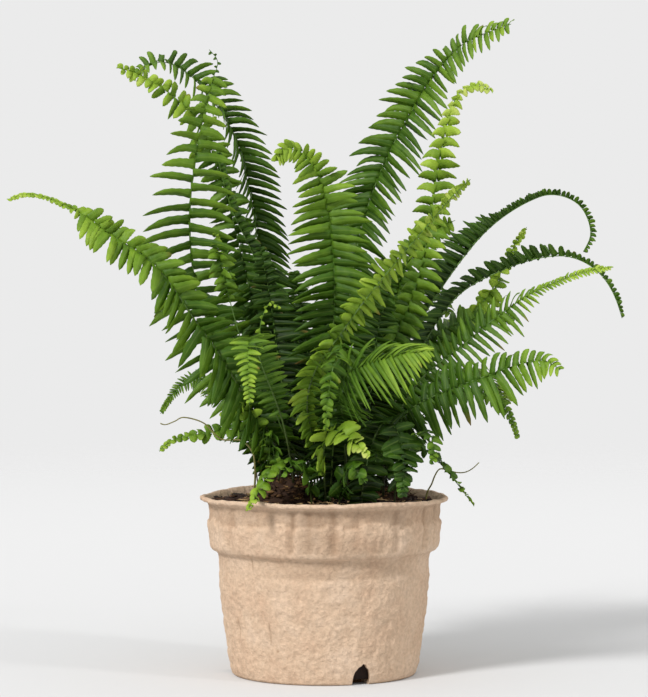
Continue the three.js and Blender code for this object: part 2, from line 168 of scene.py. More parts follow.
def leafMaterial(name, gloss, glow):
    # fern leaflet: thin waxy living leaf, so a soft sheen and light coming through
    material = startMaterial(name)
    tone = addNode(material, "ShaderNodeAttribute", {"attribute_name": "tone"})
    dry = addNode(material, "ShaderNodeAttribute", {"attribute_name": "dry"})
    place = addNode(material, "ShaderNodeTexCoord")
    leafUv = addNode(material, "ShaderNodeUVMap", {"uv_map": "leaf"})
    cross = addNode(material, "ShaderNodeSeparateXYZ", None, {0: (leafUv, 0)})
    blotch = addNoise(material, place, 160.0, 3.0)  # about 6 mm blotches
    shift = addNode(material, "ShaderNodeMath", {"operation": "MULTIPLY_ADD"},
                    {0: (blotch, 0), 1: 0.24, 2: -0.12})
    mixedTone = addNode(material, "ShaderNodeMath", {"operation": "ADD"}, {0: (tone, "Fac"), 1: (shift, 0)})
    green = addRamp(material, (mixedTone, 0), leafColours["tones"])
    fromRib = addNode(material, "ShaderNodeMath", {"operation": "SUBTRACT"}, {0: (cross, 1), 1: 0.5})
    ribGap = addNode(material, "ShaderNodeMath", {"operation": "ABSOLUTE"}, {0: (fromRib, 0)})
    rib = addRange(material, (ribGap, 0), 0.02, 0.1, 0.16, 0.0)
    ribbed = addBlend(material, (rib, 0), (green, 0), linearColour(leafColours["vein"]))
    dried = addBlend(material, (dry, "Fac"), (ribbed, 2), linearColour(leafColours["dry"]))
    # side veins run forward from the midrib, about one every 1.2 mm
    slant = addNode(material, "ShaderNodeMath", {"operation": "MULTIPLY_ADD"},
                    {0: (ribGap, 0), 1: -0.3, 2: (cross, 0)})
    combed = addNode(material, "ShaderNodeMath", {"operation": "MULTIPLY"}, {0: (slant, 0), 1: 120.0})
    waves = addNode(material, "ShaderNodeMath", {"operation": "SINE"}, {0: (combed, 0)})
    height = addNode(material, "ShaderNodeMath", {"operation": "MULTIPLY_ADD"},
                     {0: (rib, 0), 1: -1.5, 2: (waves, 0)})
    relief = addNode(material, "ShaderNodeBump", None,
                     {"Height": (height, 0), "Strength": 0.25, "Distance": 0.00025})
    skin = addNode(material, "ShaderNodeBsdfPrincipled", None,
                   {"Base Color": (dried, 2), "Roughness": gloss, "Specular IOR Level": 0.25,
                    "Normal": (relief, 0)})
    through = addNode(material, "ShaderNodeBsdfTranslucent", None,
                      {"Color": (dried, 2), "Normal": (relief, 0)})
    both = addNode(material, "ShaderNodeMixShader", None, {0: glow, 1: (skin, 0), 2: (through, 0)})
    addNode(material, "ShaderNodeOutputMaterial", None, {0: (both, 0)})
    return material


def stalkMaterial(name, low, high):
    # frond stalk and runners: smooth wiry skin, browner and darker at the foot, with darker scale flecks; on
    # frond stalks the dark foot is partly painted shade under the fronds
    material = startMaterial(name)
    place = addNode(material, "ShaderNodeTexCoord")
    tone = addNode(material, "ShaderNodeAttribute", {"attribute_name": "tone"})
    flecks = addNoise(material, place, 600.0, 4.0)
    body = addBlend(material, (tone, "Fac"), linearColour(low), linearColour(high))
    shade = addRange(material, (flecks, 0), 0.35, 0.65, 0.6, 1.15)
    worn = addBlend(material, 1.0, (body, 2), (shade, 0), "MULTIPLY")
    return closeMaterial(material, (worn, 2), 0.5, 0.5, (flecks, 0), 0.3, 0.0003)


def pulpMaterial():
    # moulded plant-fibre pulp: chalky, no sheen, felted fibres with paler flecks and brown specks, darkened
    # by painted shade
    material = startMaterial("moulded_plant_fibre")
    place = addNode(material, "ShaderNodeTexCoord")
    grime = addNode(material, "ShaderNodeAttribute", {"attribute_name": "grime"})
    cloud = addNoise(material, place, 45.0, 5.0, 0.6)
    felt = addNoise(material, place, 380.0, 4.0, 0.6)
    specks = addNode(material, "ShaderNodeTexVoronoi", None,
                     {"Vector": (place, "Object"), "Scale": 140.0, "Randomness": 1.0})
    base = addRamp(material, (cloud, 0), [(0.3, "#c3a58b"), (0.5, "#caaf95"), (0.72, "#d1b8a0")])
    fibres = addRange(material, (felt, 0), 0.3, 0.7, 0.85, 1.14)
    toned = addBlend(material, 1.0, (base, 0), (fibres, 0), "MULTIPLY")
    speckShare = addRange(material, (specks, 0), 0.03, 0.09, 0.35, 0.0)
    specked = addBlend(material, (speckShare, 0), (toned, 2), linearColour("#8f7354"))
    # painted shade: the grime attribute mixes in dark brown where the pot is recessed or shaded
    paintedDark = addBlend(material, (grime, "Fac"), (specked, 2), linearColour("#6e5238"))
    return closeMaterial(material, (paintedDark, 2), 0.95, 0.15, (felt, 0), 1.0, 0.0013)


def mixMaterial(name, colours, scale):
    # bark and peat: crumbly, matte, dark with paler woody edges
    material = startMaterial(name)
    place = addNode(material, "ShaderNodeTexCoord")
    tone = addNode(material, "ShaderNodeAttribute", {"attribute_name": "tone"})
    crumbs = addNoise(material, place, scale, 6.0, 0.75)
    shift = addNode(material, "ShaderNodeMath", {"operation": "MULTIPLY_ADD"},
                    {0: (crumbs, 0), 1: 0.6, 2: -0.3})
    total = addNode(material, "ShaderNodeMath", {"operation": "ADD"}, {0: (tone, "Fac"), 1: (shift, 0)})
    colour = addRamp(material, (total, 0), colours)
    return closeMaterial(material, (colour, 0), 0.85, 0.25, (crumbs, 0), 0.8, 0.0008)


leafGreen = leafMaterial("fern_leaflet", 0.42, 0.3)
# frond stalk colours: the dark foot colour is partly the stalk's own brown and partly painted shade under the
# fronds
stalkGreen = stalkMaterial("frond_stalk", "#2f2a14", "#557a26")
runnerBrown = stalkMaterial("wiry_runner", "#3a2a1c", "#8f8a4a")
fibrePulp = pulpMaterial()
barkMix = mixMaterial("bark_and_peat_mix", [(0.0, "#120c0a"), (0.35, "#2b1d17"), (0.6, "#4a3226"),
                                            (0.85, "#7a5b40"), (1.0, "#b89a6c")], 500.0)
scalyCrown = mixMaterial("scaly_rhizome", [(0.0, "#1a110c"), (0.4, "#3d291b"), (0.75, "#6d4e30"),
                                           (1.0, "#a0824f")], 700.0)
print("materials made")


# fronds
# leaf: longest leaflet and its width, mm. gap: leaflet spacing along one side, mm.
# bare: share of the stalk with no leaflets. fold: how far both rows rise, degrees.
# sag: how far leaflets hang. tone: colour at the foot and the tip, dark 0 to pale 1.
# fade: stretch over which leaflets shrink to the young tip. blunt: pointed 0 to rounded 1.
# taper: share of length lost evenly from foot to tip. least: size of the leaflets on the young tip.
# roll: turn of the whole blade about its midrib, degrees. curl: share where the furled tip starts.
# arch: how far a leaflet bends over. angle: degrees from the midrib at the foot and the tip.
# loose: how untidily the leaflets stand, degrees.
# what a frond has unless its own entry says otherwise
frondUsual = {
    "gap": 5.2, "bare": 0.1, "fold": 10, "sag": 0.3, "taper": 0, "fade": (0.55, 0.94), "least": 0.3,
    "blunt": 0.3, "arch": 0.62, "angle": (96, 66), "roll": 0, "curl": 1.1, "loose": 0,
}
frondLooks = {
    "tall_right": {"leaf": (29, 5.4), "fold": 20, "tone": (0.18, 0.62), "sag": 0.55, "fade": (0.6, 1.0),
        "least": 0.45, "blunt": 0.35, "arch": 0.9, "angle": (98, 66), "roll": 18},
    "dark_left_arch": {"leaf": (25, 4.6), "fold": 40, "tone": (0.16, 0.5), "fade": (0.8, 1.0), "least": 0.5,
        "blunt": 0.45, "arch": 1.2, "angle": (116, 98), "roll": 36},
    "pale_left_upright": {"leaf": (33, 6.2), "gap": 8.8, "fold": 8, "tone": (0.36, 0.62), "sag": 0.12,
        "fade": (0.6, 0.95), "blunt": 0.65, "arch": 1.1, "angle": (92, 86), "curl": 0.93},
    "small_left_tip": {"leaf": (16, 6.0), "gap": 6.0, "bare": 0.2, "fold": 15, "tone": (0.16, 0.8),
        "sag": 0.35, "fade": (0.78, 0.92), "least": 0.45, "blunt": 0.7, "loose": 16},
    "left_arching": {"leaf": (33, 7.0), "gap": 6.4, "bare": 0.08, "fold": 20, "tone": (0.3, 0.78),
        "sag": 0.35, "taper": 0.7, "fade": (0.77, 0.84), "least": 0.18, "blunt": 0.85, "arch": 0.9,
        "angle": (112, 92), "roll": -5, "loose": 12},
    "dark_left_second": {"leaf": (22, 4.8), "gap": 4.8, "bare": 0.12, "fold": 40, "tone": (0.1, 0.4)},
    "front_left_drooping": {"leaf": (15, 3.6), "gap": 4.6, "bare": 0.3, "fold": 8, "tone": (0.36, 0.7),
        "sag": 0.1, "blunt": 0.4, "arch": 0.35},
    "left_fine": {"leaf": (9, 1.9), "gap": 2.3, "bare": 0.3, "tone": (0.3, 0.55), "arch": 0.3},
    "left_low": {"leaf": (8, 5.4), "gap": 5.0, "bare": 0.2, "fold": 15, "tone": (0.34, 0.7), "blunt": 0.9,
        "loose": 24},
    "left_low_small": {"leaf": (10, 5.8), "gap": 5.4, "bare": 0.2, "fold": 15, "tone": (0.4, 0.75),
        "blunt": 0.8, "loose": 26},
    "front_left_trailing": {"leaf": (7, 6.4), "gap": 5.0, "bare": 0.3, "fold": 8, "tone": (0.5, 0.78),
        "blunt": 0.9, "loose": 26},
    "centre_tall": {"leaf": (29, 5.8), "gap": 5.3, "fold": 16, "tone": (0.18, 0.74), "sag": 0.5,
        "fade": (0.66, 0.96), "arch": 0.8, "angle": (96, 52)},
    "crozier_left": {"leaf": (4, 3.0), "gap": 8.0, "bare": 0.4, "fold": 25, "tone": (0.5, 0.7)},
    "front_centre_young": {"leaf": (14, 6.2), "gap": 5.4, "bare": 0.25, "fold": 12, "tone": (0.6, 0.88),
        "blunt": 0.8, "loose": 26},
    "front_centre_arching": {"leaf": (12, 5.2), "gap": 6.0, "bare": 0.35, "fold": 2, "tone": (0.3, 0.56),
        "blunt": 0.7, "arch": 0.7, "loose": 32},
    "front_low_left": {"leaf": (12, 8.0), "gap": 6.4, "bare": 0.2, "tone": (0.26, 0.5), "blunt": 0.9,
        "loose": 36},
    "front_low_right": {"leaf": (12, 8.0), "gap": 6.4, "bare": 0.2, "tone": (0.24, 0.5), "blunt": 0.9,
        "loose": 36},
    "right_narrow": {"leaf": (16, 6.8), "gap": 7.4, "bare": 0.2, "fold": 14, "tone": (0.4, 0.92),
        "sag": 0.0, "fade": (0.68, 0.92), "blunt": 0.5, "arch": 1.9},
    "right_mid_broad": {"leaf": (29, 5.4), "fold": 16, "tone": (0.24, 0.58), "sag": 0.45},
    "lime_crossing": {"leaf": (15, 4.8), "gap": 4.0, "bare": 0.14, "fold": 16, "tone": (0.56, 0.8),
        "sag": 0.45, "fade": (0.6, 0.96), "least": 0.35, "blunt": 0.5, "roll": 42, "loose": 18},
    "front_right_low": {"leaf": (31, 2.8), "gap": 3.0, "bare": 0.36, "fold": 4, "tone": (0.32, 0.68),
        "sag": 0.5, "fade": (0.7, 1.0), "angle": (74, 30)},
    "right_loop": {"leaf": (33, 4.4), "gap": 5.6, "bare": 0.14, "fold": 60, "tone": (0.12, 0.44),
        "sag": 0.1, "taper": 0.6, "fade": (0.56, 0.66), "least": 0.36, "arch": 0.5, "angle": (112, 98)},
    "right_second": {"leaf": (18, 4.8), "gap": 5.0, "bare": 0.14, "fold": 40, "tone": (0.12, 0.46),
        "sag": 0.1, "taper": 0.2, "fade": (0.7, 0.8), "blunt": 0.5, "arch": 0.5, "angle": (120, 104),
        "roll": 14},
    "right_light": {"leaf": (25, 3.5), "gap": 4.6, "bare": 0.14, "fold": 12, "tone": (0.24, 0.8),
        "sag": 0.5, "taper": 0.3, "fade": (0.58, 0.76), "least": 0.24, "angle": (74, 44)},
    "right_back_tip": {"leaf": (11, 6), "bare": 0.4, "fold": 20, "tone": (0.5, 0.8), "blunt": 0.7,
        "loose": 26},
    "right_low_broad": {"leaf": (25, 4.8), "gap": 5.5, "fold": 6, "tone": (0.14, 0.66), "sag": 0.25,
        "fade": (0.66, 1.0), "blunt": 0.95, "arch": 0.9, "angle": (92, 66)},
    "right_back_low": {"leaf": (23, 5.4), "gap": 4.8, "bare": 0.2, "fold": 15, "tone": (0.18, 0.5),
        "loose": 14},
    "right_small_hanging": {"leaf": (7, 4.4), "gap": 4.4, "bare": 0.4, "fold": 12, "tone": (0.3, 0.6)},
    "right_trailing": {"leaf": (7, 5.4), "gap": 5.0, "bare": 0.2, "fold": 20, "tone": (0.26, 0.62),
        "blunt": 0.8, "loose": 22},
    "front_right_dark": {"leaf": (16, 6.6), "bare": 0.3, "fold": 4, "tone": (0.12, 0.24), "sag": 0,
        "blunt": 1.0, "arch": 0.3, "loose": 15},
    "left_inner_small": {"leaf": (14, 4.8), "gap": 5.0, "bare": 0.3, "fold": 15, "tone": (0.12, 0.4),
        "loose": 20},
    "right_young": {"leaf": (10, 5.0), "gap": 5.4, "bare": 0.4, "fold": 15, "tone": (0.3, 0.5)},
    "back_left_arching": {"leaf": (24, 4.8), "gap": 5.0, "bare": 0.12, "fold": 14, "tone": (0.14, 0.5)},
    "back_left_tall": {"leaf": (26, 4.8), "gap": 5.0, "bare": 0.12, "fold": 14, "tone": (0.14, 0.55)},
    "back_middle": {"leaf": (26, 4.8), "gap": 5.0, "bare": 0.12, "fold": 14, "tone": (0.16, 0.6)},
    "back_right_tall": {"leaf": (26, 4.8), "gap": 5.0, "bare": 0.12, "fold": 14, "tone": (0.14, 0.55)},
    "back_right_low": {"leaf": (26, 5.4), "gap": 4.6, "bare": 0.12, "fold": 12, "tone": (0.3, 0.7)},
    "back_left_low": {"leaf": (19, 4.8), "gap": 5.0, "bare": 0.12, "fold": 12, "tone": (0.3, 0.7)},
    "back_low_middle": {"leaf": (19, 5.0), "bare": 0.2, "fold": 12, "tone": (0.3, 0.7)},
    "back_low_right": {"leaf": (16, 5.0), "bare": 0.2, "fold": 12, "tone": (0.5, 0.85)},
    "left_curled_young": {"leaf": (10, 4.4), "gap": 3.8, "bare": 0.75, "fold": 20, "tone": (0.4, 0.66),
        "blunt": 0.6, "arch": 1.0, "loose": 26},
    "inner_left": {"leaf": (25, 4.6), "gap": 4.8, "bare": 0.06, "tone": (0.06, 0.26), "loose": 12},
    "inner_centre": {"leaf": (24, 4.6), "gap": 4.8, "bare": 0.06, "tone": (0.06, 0.26), "loose": 12},
    "inner_right": {"leaf": (25, 4.6), "gap": 4.8, "bare": 0.06, "tone": (0.06, 0.3), "loose": 12},
    "base_left": {"leaf": (15, 5.6), "gap": 5.4, "bare": 0.08, "fold": 8, "tone": (0.16, 0.44),
        "blunt": 0.7, "loose": 20},
    "base_front_left": {"leaf": (11, 6.0), "gap": 5.4, "bare": 0.35, "fold": 8, "tone": (0.3, 0.6),
        "blunt": 0.8, "loose": 32},
    "base_front": {"leaf": (18, 6.0), "gap": 4.4, "bare": 0.06, "fold": 6, "tone": (0.06, 0.3),
        "blunt": 0.7, "loose": 16},
    "base_front_right": {"leaf": (18, 7.0), "gap": 4.6, "bare": 0.06, "fold": 6, "tone": (0.08, 0.26),
        "blunt": 0.9, "loose": 18},
    "base_right": {"leaf": (16, 6.0), "fold": 8, "tone": (0.14, 0.44), "blunt": 0.6, "loose": 20},
    "base_back_left": {"leaf": (18, 5.6), "tone": (0.2, 0.5)},
    "base_back_right": {"leaf": (18, 5.6), "tone": (0.2, 0.5)},
    "base_back": {"leaf": (16, 5.6), "tone": (0.16, 0.4)},
}

leafletShape = {
    "steps": 10,  # lengths of blade along a leaflet
    "thickness": 0.2,  # mm
    "tooth": 0.06,  # scalloped edge, share of the half width
    "auricle": 0.28,  # ear at the foot, on the side towards the tip
    "auricleEnd": 0.25,
    "crease": 0.22,  # edges lifted from the midrib
    "bend": 0.1,  # sickle bend towards the tip
    "hangDown": 0.65,  # a drooping leaflet falls by its weight and away from its upper face
    "hangBack": 0.45,
    "spring": 0.32,  # it leaves the midrib raised before it falls
    "dryShare": 0.03,  # share of leaflets with a dry brown tip
    "dryFrom": 0.7,
    "shortest": 0.002,  # m
    "slimmest": 0.0016,
    "curlLeaf": (2.2, 1.7),  # tiny furled leaflets on a bare young curl, mm
    "curlTone": 0.35,
}

plantHeart = Vector((0.010, -0.002, 0.118))


def ringsOf(node):
    # walks a CAD blade ring by ring from its pointed tip back to its root
    bm = bmesh.new()
    bm.from_mesh(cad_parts[node].data)
    bmesh.ops.remove_doubles(bm, verts=bm.verts[:], dist=2e-5)
    bm.verts.ensure_lookup_table()
    sides = 6 if node.startswith("runner") else 4
    ends = [v for v in bm.verts if len(v.link_edges) == sides and len(v.link_faces) == sides]
    tip = max(ends, key=lambda v: (v.co - plantHeart).length)
    seen = {tip}
    level = [tip]
    rings = [[tip.co.copy()]]
    while level:
        nextLevel = []
        for v in level:
            for edge in v.link_edges:
                other = edge.other_vert(v)
                if other not in seen:
                    seen.add(other)
                    nextLevel.append(other)
        if nextLevel:
            ordered, rest = [nextLevel[0]], nextLevel[1:]
            while rest:
                linked = [v for v in rest if any(e.other_vert(v) is ordered[-1] for e in v.link_edges)]
                ordered.append(linked[0] if linked else rest[0])
                rest.remove(ordered[-1])
            rings.append([v.co.copy() for v in ordered])
        level = nextLevel
    bm.free()
    rings.reverse()
    return rings


def catmull(p0, p1, p2, p3, t):
    return 0.5 * ((2 * p1) + (p2 - p0) * t + (2 * p0 - 5 * p1 + 4 * p2 - p3) * t * t
                  + (3 * p1 - p0 - 3 * p2 + p3) * t * t * t)


def spineOf(node, upper):
    # smooth midrib: list of (place, along, across, up, share of length)
    rings = ringsOf(node)
    centres = [sum(ring, Vector()) / len(ring) for ring in rings]
    sides = []
    for ring in rings:
        if len(ring) == 4:
            pairs = [ring[0] - ring[2], ring[1] - ring[3]]
            pairs.sort(key=lambda d: -d.length)
            sides.append([pairs[0], pairs[1], pairs[0].length / max(pairs[1].length, 1e-7)])
        else:
            sides.append(None)
    known = [i for i, s in enumerate(sides) if s]
    chosen = [None] * len(rings)
    if known:
        best = max(known, key=lambda i: sides[i][2])
        chosen[best] = sides[best][0].normalized()
        for step in (1, -1):
            i = best + step
            while 0 <= i < len(rings):
                before = chosen[i - step]
                options = [before]
                if sides[i]:
                    options = [d.normalized() * sign for d in sides[i][:2] for sign in (1, -1)]
                chosen[i] = max(options, key=lambda d: d.dot(before))
                i += step
    else:
        chosen = [Vector((1, 0, 0))] * len(rings)
    fine = 8
    spine = []
    last = len(centres) - 1
    for i in range(last):
        p0, p1 = centres[max(0, i - 1)], centres[i]
        p2, p3 = centres[i + 1], centres[min(last, i + 2)]
        for k in range(fine):
            t = k / fine
            spine.append([catmull(p0, p1, p2, p3, t), chosen[i].lerp(chosen[i + 1], t)])
    spine.append([centres[last].copy(), chosen[last].copy()])
    lengths = [0.0]
    for a, b in zip(spine, spine[1:]):
        lengths.append(lengths[-1] + (b[0] - a[0]).length)
    result = []
    agree = 0.0
    for i, (place, side) in enumerate(spine):
        ahead = spine[min(i + 1, len(spine) - 1)][0] - spine[max(i - 1, 0)][0]
        along = ahead.normalized()
        across = (side - along * side.dot(along)).normalized()
        up = across.cross(along)
        agree += up.dot(upper)
        result.append([place, along, across, up, lengths[i]])
    if agree < 0:
        result = [[p, a, -c, -u, s] for p, a, c, u, s in result]
    return result, lengths[-1]


def spineAt(spine, distance):
    low, high = 0, len(spine) - 1
    while high - low > 1:
        middle = (low + high) // 2
        if spine[middle][4] <= distance:
            low = middle
        else:
            high = middle
    a, b = spine[low], spine[high]
    t = (distance - a[4]) / max(b[4] - a[4], 1e-9)
    return [x.lerp(y, t) for x, y in zip(a[:4], b[:4])]


def bladeSize(v, look):
    # leaflet length along the leafy stretch: shorter at the foot, full, then a short-leaved young tip
    young = (1 - look["taper"] * v) * (1 - (1 - look["least"]) * smoothStep(*look["fade"], v))
    return min(1.0, 0.5 + 2.2 * v) * young * (1 - 0.45 * smoothStep(0.94, 1, v))


potGuard = {"mixReach": 0.075, "mixTop": 0.1155, "rimInside": 0.074, "rimOutside": 0.0845,
            "rimUnder": 0.1, "rimTop": 0.1215}


def keepOffPot(co):
    # leaflets lie on the potting mix and over the rim, never through them
    radial = math.hypot(co.x, co.y)
    if radial < potGuard["mixReach"] and co.z < potGuard["mixTop"]:
        co.z = potGuard["mixTop"]
    if (potGuard["rimInside"] < radial < potGuard["rimOutside"]
            and potGuard["rimUnder"] < co.z < potGuard["rimTop"]):
        co.z = potGuard["rimTop"]
    return co


def outlineAt(t, blunt):
    # half width along a leaflet: pointed and tapering, or parallel-sided and rounded
    pointed = (1 - t ** 2.3) ** 0.85
    rounded = (1 - t ** 5.5) ** 0.7
    return pointed + (rounded - pointed) * blunt


def addLeaflet(bm, layers, root, along, side, up, size, tone, blunt, arch, rng):
    # along: outward along the leaflet; side: towards the frond's tip; up: upper face
    toneLayer, dryLayer = layers
    length, width = size
    half = width / 2
    steps = leafletShape["steps"]
    made = bmesh.ops.create_grid(bm, x_segments=steps, y_segments=2, size=0.5, calc_uvs=True)
    bend = leafletShape["bend"] * rng.uniform(0.3, 1.6)
    droop = arch * rng.uniform(0.55, 1.45)
    twist = rng.uniform(-0.5, 0.5)
    crease = leafletShape["crease"] * rng.uniform(-0.6, 1.6)
    ripple = rng.uniform(0.0, 0.16)
    phase = rng.uniform(0, 6.28)
    dryTip = rng.uniform(0.5, 1.0) if rng.random() < leafletShape["dryShare"] else 0.0
    hang = Vector((0, 0, -leafletShape["hangDown"])) - up * leafletShape["hangBack"]
    lifted = (along - hang * (leafletShape["spring"] * droop)).normalized()
    for v in made["verts"]:
        t = v.co.x + 0.5
        s = round(v.co.y * 2)
        i = round(t * steps)
        spread = outlineAt(t, blunt) * half
        if 0 < i < steps:
            spread *= 1 + leafletShape["tooth"] * (1 if i % 2 else -1)
        if s > 0 and t < leafletShape["auricleEnd"]:
            spread *= 1 + leafletShape["auricle"] * (1 - t / leafletShape["auricleEnd"])
        spread = max(spread, 0.00015)
        x = length * (t - 0.02)
        y = 0.5 * bend * length * t * t + s * spread * math.cos(twist * t)
        z = crease * spread * abs(s) + s * spread * math.sin(twist * t + 0.12)
        z += ripple * half * s * math.sin(9 * t + phase)
        v.co = root + lifted * x + side * y + up * z + hang * (0.5 * droop * length * t ** 2.2)
        v.co = keepOffPot(v.co)
        v[toneLayer] = tone + 0.15 * t - 0.03
        v[dryLayer] = dryTip * max(0.0, (t - leafletShape["dryFrom"]) / (1 - leafletShape["dryFrom"]))


def growLeaflets(bm, layers, spine, length, look, rng):
    longest, width = look["leaf"][0] * mm, look["leaf"][1] * mm
    start = look["bare"] * length
    leafy = length - start
    fold = math.radians(look["fold"])
    sag, blunt, angles = look["sag"], look["blunt"], look["angle"]
    roll, loose = math.radians(look["roll"]), math.radians(look["loose"])
    toneLow, toneHigh = look["tone"]
    seed = rng.uniform(0, 50)
    count = 0
    for sign in (1, -1):
        place = start + (0 if sign > 0 else look["gap"] * mm * 0.5)
        while place < length - 0.0012:
            v = (place - start) / leafy
            full = bladeSize(v, look)
            here, along, across, up = spineAt(spine, place)
            across, up = (across * math.cos(roll) + up * math.sin(roll),
                          up * math.cos(roll) - across * math.sin(roll))
            sway = noise.noise(Vector((v * 6, seed, sign)))
            angle = math.radians(angles[0] * (1 - v) + angles[1] * v)
            angle += math.radians(rng.uniform(-5, 5) + 10 * sway)
            lift = fold + math.radians(rng.uniform(-10, 10) + 14 * sway)
            if loose:
                angle += rng.uniform(-loose, loose)
                lift += rng.uniform(-loose, loose)
            flat = (across * sign * math.sin(angle) + along * math.cos(angle)).normalized()
            out = (flat * math.cos(lift) + up * math.sin(lift)).normalized()
            out = (out + Vector((0, 0, -sag * (0.6 + 0.4 * full)))).normalized()
            side = (along - out * along.dot(out)).normalized()
            face = out.cross(side)
            if face.dot(up) < 0:
                face = -face
            tilt = math.radians(rng.uniform(-16, 26))
            if loose:
                tilt += rng.uniform(-loose, loose) * 1.5
            side = (side * math.cos(tilt) + face * math.sin(tilt)).normalized()
            face = (face - side * face.dot(side)).normalized()
            size = (max(longest * full * rng.uniform(0.84, 1.07), leafletShape["shortest"]),
                    max(width * (0.5 + 0.5 * min(1, full * 1.3)) * rng.uniform(0.85, 1.1),
                        leafletShape["slimmest"]))
            tone = toneLow + (toneHigh - toneLow) * v ** 1.5 + rng.uniform(-0.08, 0.09)
            if v > look["curl"]:
                size = [edge * mm for edge in leafletShape["curlLeaf"]]
                tone = leafletShape["curlTone"]
            ends = blunt + (0.9 - blunt) * smoothStep(0.6, 1, v)
            addLeaflet(bm, layers, here + up * 0.0002, out, side, face, size, tone, ends, look["arch"], rng)
            count += 1
            place += look["gap"] * mm * (0.4 + 0.6 * min(1.0, full * 1.4)) * rng.uniform(0.88, 1.12)
    return count


def addStem(bm, layers, spine, length, thick, thin, sides, toneAt, materialIndex, step=0.003):
    # tube along the midrib, drawn out ring by ring from one circle
    rings = max(6, round(length / step))
    circle = bmesh.ops.create_circle(bm, cap_ends=False, segments=sides, radius=1.0)
    ring = circle["verts"]
    unit = [v.co.copy() for v in ring]
    edges = list({e for v in ring for e in v.link_edges})
    firstRing = ring
    faces = []
    for i in range(rings + 1):
        share = i / rings
        here, along, across, up = spineAt(spine, share * length)
        radius = (thin + (thick - thin) * (1 - share) ** 1.2) * mm
        if i > 0:
            grown = bmesh.ops.extrude_edge_only(bm, edges=edges)["geom"]
            newVerts = [g for g in grown if isinstance(g, bmesh.types.BMVert)]
            edges = [g for g in grown if isinstance(g, bmesh.types.BMEdge)
                     and all(v in newVerts for v in g.verts)]
            faces += [g for g in grown if isinstance(g, bmesh.types.BMFace)]
            ring = [next(e.other_vert(old) for e in old.link_edges if e.other_vert(old) in newVerts)
                    for old in ring]
        for v, u in zip(ring, unit):
            v.co = here + across * u.x * radius + up * u.y * radius
            v[layers[0]] = toneAt(share)
            v[layers[1]] = 0.0
    for loopVerts in (firstRing, ring):
        faces.append(bm.faces.new(loopVerts))
    for face in faces:
        face.material_index = materialIndex
    bmesh.ops.recalc_face_normals(bm, faces=faces)


def buildFrond(name, look, index):
    rng = random.Random(100 + index)
    spine, length = spineOf(name, Vector((0, -0.5, 1)))
    bm = bmesh.new()
    bm.loops.layers.uv.new("leaf")
    layers = (bm.verts.layers.float.new("tone"), bm.verts.layers.float.new("dry"))
    count = growLeaflets(bm, layers, spine, length, look, rng)
    bmesh.ops.solidify(bm, geom=bm.faces[:], thickness=leafletShape["thickness"] * mm)
    sturdy = 0.5 + look["leaf"][0] / 60
    # stalk tone darkens to the foot: partly its own brown foot, partly painted shade under the fronds
    addStem(bm, layers, spine, length, sturdy, 0.22, 7, lambda share: min(1.0, 0.1 + share * 1.4), 1)
    finishPiece(name + "_leaves", bm, [leafGreen, stalkGreen], name)
    return count


leafletTotal = 0
for index, (place, look) in enumerate(frondLooks.items()):
    leafletTotal += buildFrond("frond_" + place, {**frondUsual, **look}, index)
print("fronds grown:", len(frondLooks), "leaflets:", leafletTotal)


# runners
runnerLooks = {
    "runner_left": {"thick": 0.75, "thin": 0.4, "tone": 0.75},
    "runner_stalk": {"thick": 0.6, "thin": 0.35, "tone": 0.1},
    "runner_right": {"thick": 0.6, "thin": 0.35, "tone": 0.9},
}
for name, look in runnerLooks.items():
    spine, length = spineOf(name, Vector((0, 0, 1)))
    bm = bmesh.new()
    bm.loops.layers.uv.new("leaf")
    layers = (bm.verts.layers.float.new("tone"), bm.verts.layers.float.new("dry"))
    addStem(bm, layers, spine, length, look["thick"], look["thin"], 8, lambda share: look["tone"], 0, 0.0015)
    finishPiece(name + "_wire", bm, [runnerBrown], name)
print("runners drawn")


# pot
pot = {
    "turns": 450,
    # wall profile: radius and height, mm
    "outside": [(0, 0), (58.5, 0), (60.6, 0.3), (61.6, 1.4), (64.1, 19), (68.1, 49), (70.2, 77.6),
                (70.9, 80.6), (72.2, 82.4), (74.9, 83.6), (75.9, 85.4), (77.3, 100), (77.0, 104),
                (77.3, 110), (77.7, 113.8), (78.9, 115.6), (81.4, 116.6), (82.5, 117.5), (82.7, 118.6),
                (82.1, 119.7), (80.8, 120), (79.6, 119.5)],
    "inside": [(78.2, 117.6), (76.2, 113), (74.9, 103), (73.2, 85.6), (69.6, 82.6), (67.7, 77.6),
               (65.6, 49), (61.6, 19), (59.6, 3.2), (0, 3.2)],
    # heights between which one zone of the wall turns into the next, mm
    "footEdge": (2, 8), "bodyTop": (66, 72), "stripTop": (80, 83),
    "collarFoot": (83, 87), "collarTop": (112, 115), "lipFoot": (113, 116),
    "deepest": 1.6,  # relief never cuts deeper, mm
    "midWall": (0.0612, 0.09),  # radius at the foot, m, and its growth with height
    # where painted shade darkens the cut faces of the drain notches
    "notchShadeNear": 7,  # degrees either side of a notch
    "notchShadeWall": (0.03, 0.0605),
    "notchShadeTop": 0.015,
    "fineStep": 0.95,
    "coarseStep": 5.0,
    # pleats in the collar: degrees right of the front, depth and half width in mm
    "pleats": [(-52, 1.0, 4), (-34, 0.5, 3), (-15.5, 2.3, 2.4), (-7.5, 1.2, 2.4), (4.5, 1.6, 2.6),
               (16, 0.6, 3), (37, 0.9, 2.6), (59, 1.8, 2.4), (71, 0.9, 2.2)],
    # cracks and pits: degrees right of the front, height, half length, depth, mm
    "cracks": [(-41, 79, 5.5, 1.0), (-32, 33, 7, 0.9), (-57, 76, 3, 0.6), (-56, 35, 7, 0.6)],
    "pits": [(-27.5, 22, 0.9, 1.1)],
    "notches": [23, 143, 263],
    "notchReach": 49,
}


